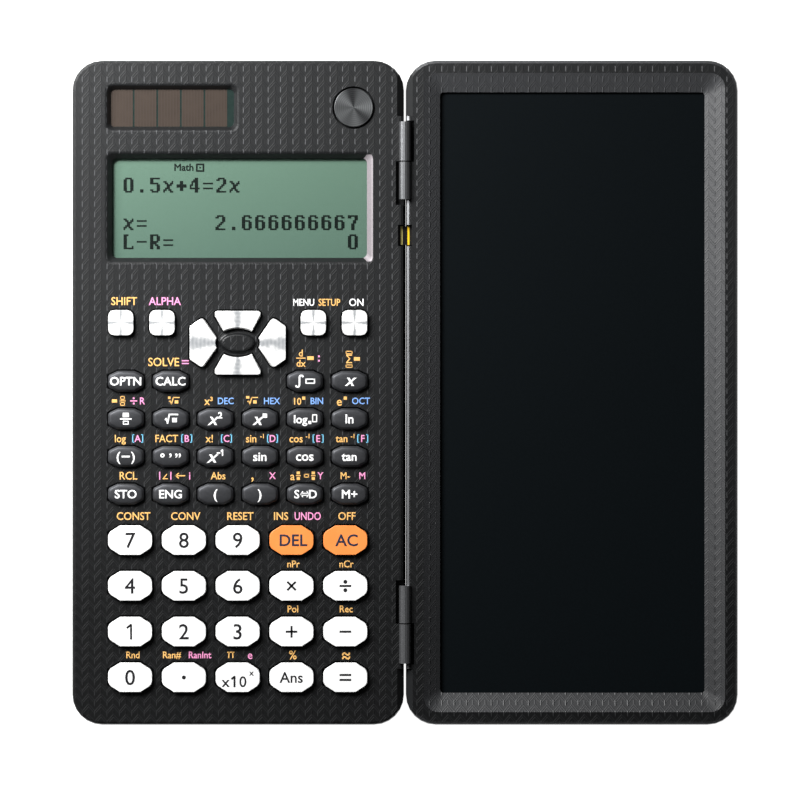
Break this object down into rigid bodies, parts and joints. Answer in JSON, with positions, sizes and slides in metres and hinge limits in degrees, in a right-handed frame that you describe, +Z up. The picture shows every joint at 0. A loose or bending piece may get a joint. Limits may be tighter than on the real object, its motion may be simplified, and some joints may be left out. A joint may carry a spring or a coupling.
{
  "type": "folding scientific calculator",
  "caption": "Scientific calculator that folds shut like a book: keypad, dot display, solar cell and erase button in one leaf, a recessed writing tablet in the other.",
  "frame": {"origin": "middle of the open footprint, on the surface that the open device lies on", "axes": "+Z up from that surface, +Y towards the display end, +X towards the tablet leaf; the hinge line runs along Y above the origin"},
  "size_m": [0.1666, 0.1662, 0.0096],
  "materials": {
    "calculator_shell": "moulded ABS with a fine raised knit texture",
    "tablet_shell": "moulded ABS with a fine raised knit texture",
    "display_window": "clear acrylic, polished",
    "display_panel": "reflective liquid-crystal glass, grey-green",
    "connector_rubber": "matt elastomer",
    "solar_cell": "dark brown amorphous cell, smooth",
    "erase_button": "metallised ABS, turned-metal look",
    "number_keys": "satin white ABS",
    "orange_keys": "satin orange ABS",
    "silver_keys": "metallised ABS, spun-metal look",
    "function_keys": "polished black ABS",
    "key_mat": "matt silicone",
    "circuit_board": "solder-masked glass-epoxy board",
    "battery": "nickel-plated steel can",
    "battery_clip": "spring steel, plated",
    "screws": "black zinc-plated steel",
    "hinge_pins": "drawn steel",
    "ribbon_cable": "polyimide film",
    "writing_panel": "smooth pressure-sensitive film"
  },
  "bodies": {
    "calculator": {"front_case": "calculator_shell", "rear_case": "calculator_shell", "display_window": "display_window", "display_panel": "display_panel", "display_connector": "connector_rubber", "solar_cell": "solar_cell", "keypad_mat": "key_mat", "circuit_board": "circuit_board", "battery": "battery", "battery_door": "calculator_shell", "battery_door_screw": "screws", "battery_clip": "battery_clip", "case_screw_far_left": "screws", "case_screw_far_right": "screws", "case_screw_near_left": "screws", "case_screw_near_right": "screws", "hinge_pin_upper": "hinge_pins", "hinge_pin_lower": "hinge_pins", "ribbon_cable": "ribbon_cable"},
    "tablet": {"tablet_frame": "tablet_shell", "tablet_back": "tablet_shell", "writing_panel": "writing_panel", "tablet_board": "circuit_board"},
    "erase_button": {"erase_button": "erase_button"},
    "key_0": {"key_0": "number_keys"},
    "key_point": {"key_point": "number_keys"},
    "key_exponent": {"key_exponent": "number_keys"},
    "key_answer": {"key_answer": "number_keys"},
    "key_equals": {"key_equals": "number_keys"},
    "key_1": {"key_1": "number_keys"},
    "key_2": {"key_2": "number_keys"},
    "key_3": {"key_3": "number_keys"},
    "key_plus": {"key_plus": "number_keys"},
    "key_minus": {"key_minus": "number_keys"},
    "key_4": {"key_4": "number_keys"},
    "key_5": {"key_5": "number_keys"},
    "key_6": {"key_6": "number_keys"},
    "key_multiply": {"key_multiply": "number_keys"},
    "key_divide": {"key_divide": "number_keys"},
    "key_7": {"key_7": "number_keys"},
    "key_8": {"key_8": "number_keys"},
    "key_9": {"key_9": "number_keys"},
    "key_delete": {"key_delete": "orange_keys"},
    "key_all_clear": {"key_all_clear": "orange_keys"},
    "key_shift": {"key_shift": "silver_keys"},
    "key_alpha": {"key_alpha": "silver_keys"},
    "key_menu": {"key_menu": "silver_keys"},
    "key_power": {"key_power": "silver_keys"},
    "arrow_up": {"arrow_up": "silver_keys"},
    "arrow_down": {"arrow_down": "silver_keys"},
    "arrow_left": {"arrow_left": "silver_keys"},
    "arrow_right": {"arrow_right": "silver_keys"},
    "function_keys_a_left": {"function_keys_a_left": "function_keys"},
    "function_keys_a_right": {"function_keys_a_right": "function_keys"},
    "function_keys_b_left": {"function_keys_b_left": "function_keys"},
    "function_keys_b_right": {"function_keys_b_right": "function_keys"},
    "function_keys_c_left": {"function_keys_c_left": "function_keys"},
    "function_keys_c_right": {"function_keys_c_right": "function_keys"},
    "function_keys_d_left": {"function_keys_d_left": "function_keys"},
    "function_keys_d_right": {"function_keys_d_right": "function_keys"}
  },
  "joints": [
    {"name": "fold", "type": "hinge", "parent": "calculator", "child": "tablet", "pos_m": [0, 0, 0.00815], "axis": [0, -1, 0], "range_deg": [0, 180], "deforming": ["ribbon_cable"]},
    {"name": "press_erase_button", "type": "slide", "parent": "calculator", "child": "erase_button", "axis": [0, 0, -1], "range_m": [0, 0.0008], "stiffness_N_per_m": 500, "springref_m": -0.0004},
    {"name": "press_key_0", "type": "slide", "parent": "calculator", "child": "key_0", "axis": [0, 0, -1], "range_m": [0, 0.0008], "stiffness_N_per_m": 400, "springref_m": -0.0004},
    {"name": "press_key_point", "type": "slide", "parent": "calculator", "child": "key_point", "axis": [0, 0, -1], "range_m": [0, 0.0008], "stiffness_N_per_m": 400, "springref_m": -0.0004},
    {"name": "press_key_exponent", "type": "slide", "parent": "calculator", "child": "key_exponent", "axis": [0, 0, -1], "range_m": [0, 0.0008], "stiffness_N_per_m": 400, "springref_m": -0.0004},
    {"name": "press_key_answer", "type": "slide", "parent": "calculator", "child": "key_answer", "axis": [0, 0, -1], "range_m": [0, 0.0008], "stiffness_N_per_m": 400, "springref_m": -0.0004},
    {"name": "press_key_equals", "type": "slide", "parent": "calculator", "child": "key_equals", "axis": [0, 0, -1], "range_m": [0, 0.0008], "stiffness_N_per_m": 400, "springref_m": -0.0004},
    {"name": "press_key_1", "type": "slide", "parent": "calculator", "child": "key_1", "axis": [0, 0, -1], "range_m": [0, 0.0008], "stiffness_N_per_m": 400, "springref_m": -0.0004},
    {"name": "press_key_2", "type": "slide", "parent": "calculator", "child": "key_2", "axis": [0, 0, -1], "range_m": [0, 0.0008], "stiffness_N_per_m": 400, "springref_m": -0.0004},
    {"name": "press_key_3", "type": "slide", "parent": "calculator", "child": "key_3", "axis": [0, 0, -1], "range_m": [0, 0.0008], "stiffness_N_per_m": 400, "springref_m": -0.0004},
    {"name": "press_key_plus", "type": "slide", "parent": "calculator", "child": "key_plus", "axis": [0, 0, -1], "range_m": [0, 0.0008], "stiffness_N_per_m": 400, "springref_m": -0.0004},
    {"name": "press_key_minus", "type": "slide", "parent": "calculator", "child": "key_minus", "axis": [0, 0, -1], "range_m": [0, 0.0008], "stiffness_N_per_m": 400, "springref_m": -0.0004},
    {"name": "press_key_4", "type": "slide", "parent": "calculator", "child": "key_4", "axis": [0, 0, -1], "range_m": [0, 0.0008], "stiffness_N_per_m": 400, "springref_m": -0.0004},
    {"name": "press_key_5", "type": "slide", "parent": "calculator", "child": "key_5", "axis": [0, 0, -1], "range_m": [0, 0.0008], "stiffness_N_per_m": 400, "springref_m": -0.0004},
    {"name": "press_key_6", "type": "slide", "parent": "calculator", "child": "key_6", "axis": [0, 0, -1], "range_m": [0, 0.0008], "stiffness_N_per_m": 400, "springref_m": -0.0004},
    {"name": "press_key_multiply", "type": "slide", "parent": "calculator", "child": "key_multiply", "axis": [0, 0, -1], "range_m": [0, 0.0008], "stiffness_N_per_m": 400, "springref_m": -0.0004},
    {"name": "press_key_divide", "type": "slide", "parent": "calculator", "child": "key_divide", "axis": [0, 0, -1], "range_m": [0, 0.0008], "stiffness_N_per_m": 400, "springref_m": -0.0004},
    {"name": "press_key_7", "type": "slide", "parent": "calculator", "child": "key_7", "axis": [0, 0, -1], "range_m": [0, 0.0008], "stiffness_N_per_m": 400, "springref_m": -0.0004},
    {"name": "press_key_8", "type": "slide", "parent": "calculator", "child": "key_8", "axis": [0, 0, -1], "range_m": [0, 0.0008], "stiffness_N_per_m": 400, "springref_m": -0.0004},
    {"name": "press_key_9", "type": "slide", "parent": "calculator", "child": "key_9", "axis": [0, 0, -1], "range_m": [0, 0.0008], "stiffness_N_per_m": 400, "springref_m": -0.0004},
    {"name": "press_key_delete", "type": "slide", "parent": "calculator", "child": "key_delete", "axis": [0, 0, -1], "range_m": [0, 0.0008], "stiffness_N_per_m": 400, "springref_m": -0.0004},
    {"name": "press_key_all_clear", "type": "slide", "parent": "calculator", "child": "key_all_clear", "axis": [0, 0, -1], "range_m": [0, 0.0008], "stiffness_N_per_m": 400, "springref_m": -0.0004},
    {"name": "press_key_shift", "type": "slide", "parent": "calculator", "child": "key_shift", "axis": [0, 0, -1], "range_m": [0, 0.0008], "stiffness_N_per_m": 400, "springref_m": -0.0004},
    {"name": "press_key_alpha", "type": "slide", "parent": "calculator", "child": "key_alpha", "axis": [0, 0, -1], "range_m": [0, 0.0008], "stiffness_N_per_m": 400, "springref_m": -0.0004},
    {"name": "press_key_menu", "type": "slide", "parent": "calculator", "child": "key_menu", "axis": [0, 0, -1], "range_m": [0, 0.0008], "stiffness_N_per_m": 400, "springref_m": -0.0004},
    {"name": "press_key_power", "type": "slide", "parent": "calculator", "child": "key_power", "axis": [0, 0, -1], "range_m": [0, 0.0008], "stiffness_N_per_m": 400, "springref_m": -0.0004},
    {"name": "press_arrow_up", "type": "slide", "parent": "calculator", "child": "arrow_up", "axis": [0, 0, -1], "range_m": [0, 0.0008], "stiffness_N_per_m": 400, "springref_m": -0.0004},
    {"name": "press_arrow_down", "type": "slide", "parent": "calculator", "child": "arrow_down", "axis": [0, 0, -1], "range_m": [0, 0.0008], "stiffness_N_per_m": 400, "springref_m": -0.0004},
    {"name": "press_arrow_left", "type": "slide", "parent": "calculator", "child": "arrow_left", "axis": [0, 0, -1], "range_m": [0, 0.0008], "stiffness_N_per_m": 400, "springref_m": -0.0004},
    {"name": "press_arrow_right", "type": "slide", "parent": "calculator", "child": "arrow_right", "axis": [0, 0, -1], "range_m": [0, 0.0008], "stiffness_N_per_m": 400, "springref_m": -0.0004},
    {"name": "press_function_keys_a_left", "type": "slide", "parent": "calculator", "child": "function_keys_a_left", "axis": [0, 0, -1], "range_m": [0, 0.0008], "stiffness_N_per_m": 400, "springref_m": -0.0004},
    {"name": "press_function_keys_a_right", "type": "slide", "parent": "calculator", "child": "function_keys_a_right", "axis": [0, 0, -1], "range_m": [0, 0.0008], "stiffness_N_per_m": 400, "springref_m": -0.0004},
    {"name": "press_function_keys_b_left", "type": "slide", "parent": "calculator", "child": "function_keys_b_left", "axis": [0, 0, -1], "range_m": [0, 0.0008], "stiffness_N_per_m": 400, "springref_m": -0.0004},
    {"name": "press_function_keys_b_right", "type": "slide", "parent": "calculator", "child": "function_keys_b_right", "axis": [0, 0, -1], "range_m": [0, 0.0008], "stiffness_N_per_m": 400, "springref_m": -0.0004},
    {"name": "press_function_keys_c_left", "type": "slide", "parent": "calculator", "child": "function_keys_c_left", "axis": [0, 0, -1], "range_m": [0, 0.0008], "stiffness_N_per_m": 400, "springref_m": -0.0004},
    {"name": "press_function_keys_c_right", "type": "slide", "parent": "calculator", "child": "function_keys_c_right", "axis": [0, 0, -1], "range_m": [0, 0.0008], "stiffness_N_per_m": 400, "springref_m": -0.0004},
    {"name": "press_function_keys_d_left", "type": "slide", "parent": "calculator", "child": "function_keys_d_left", "axis": [0, 0, -1], "range_m": [0, 0.0008], "stiffness_N_per_m": 400, "springref_m": -0.0004},
    {"name": "press_function_keys_d_right", "type": "slide", "parent": "calculator", "child": "function_keys_d_right", "axis": [0, 0, -1], "range_m": [0, 0.0008], "stiffness_N_per_m": 400, "springref_m": -0.0004}
  ]
}
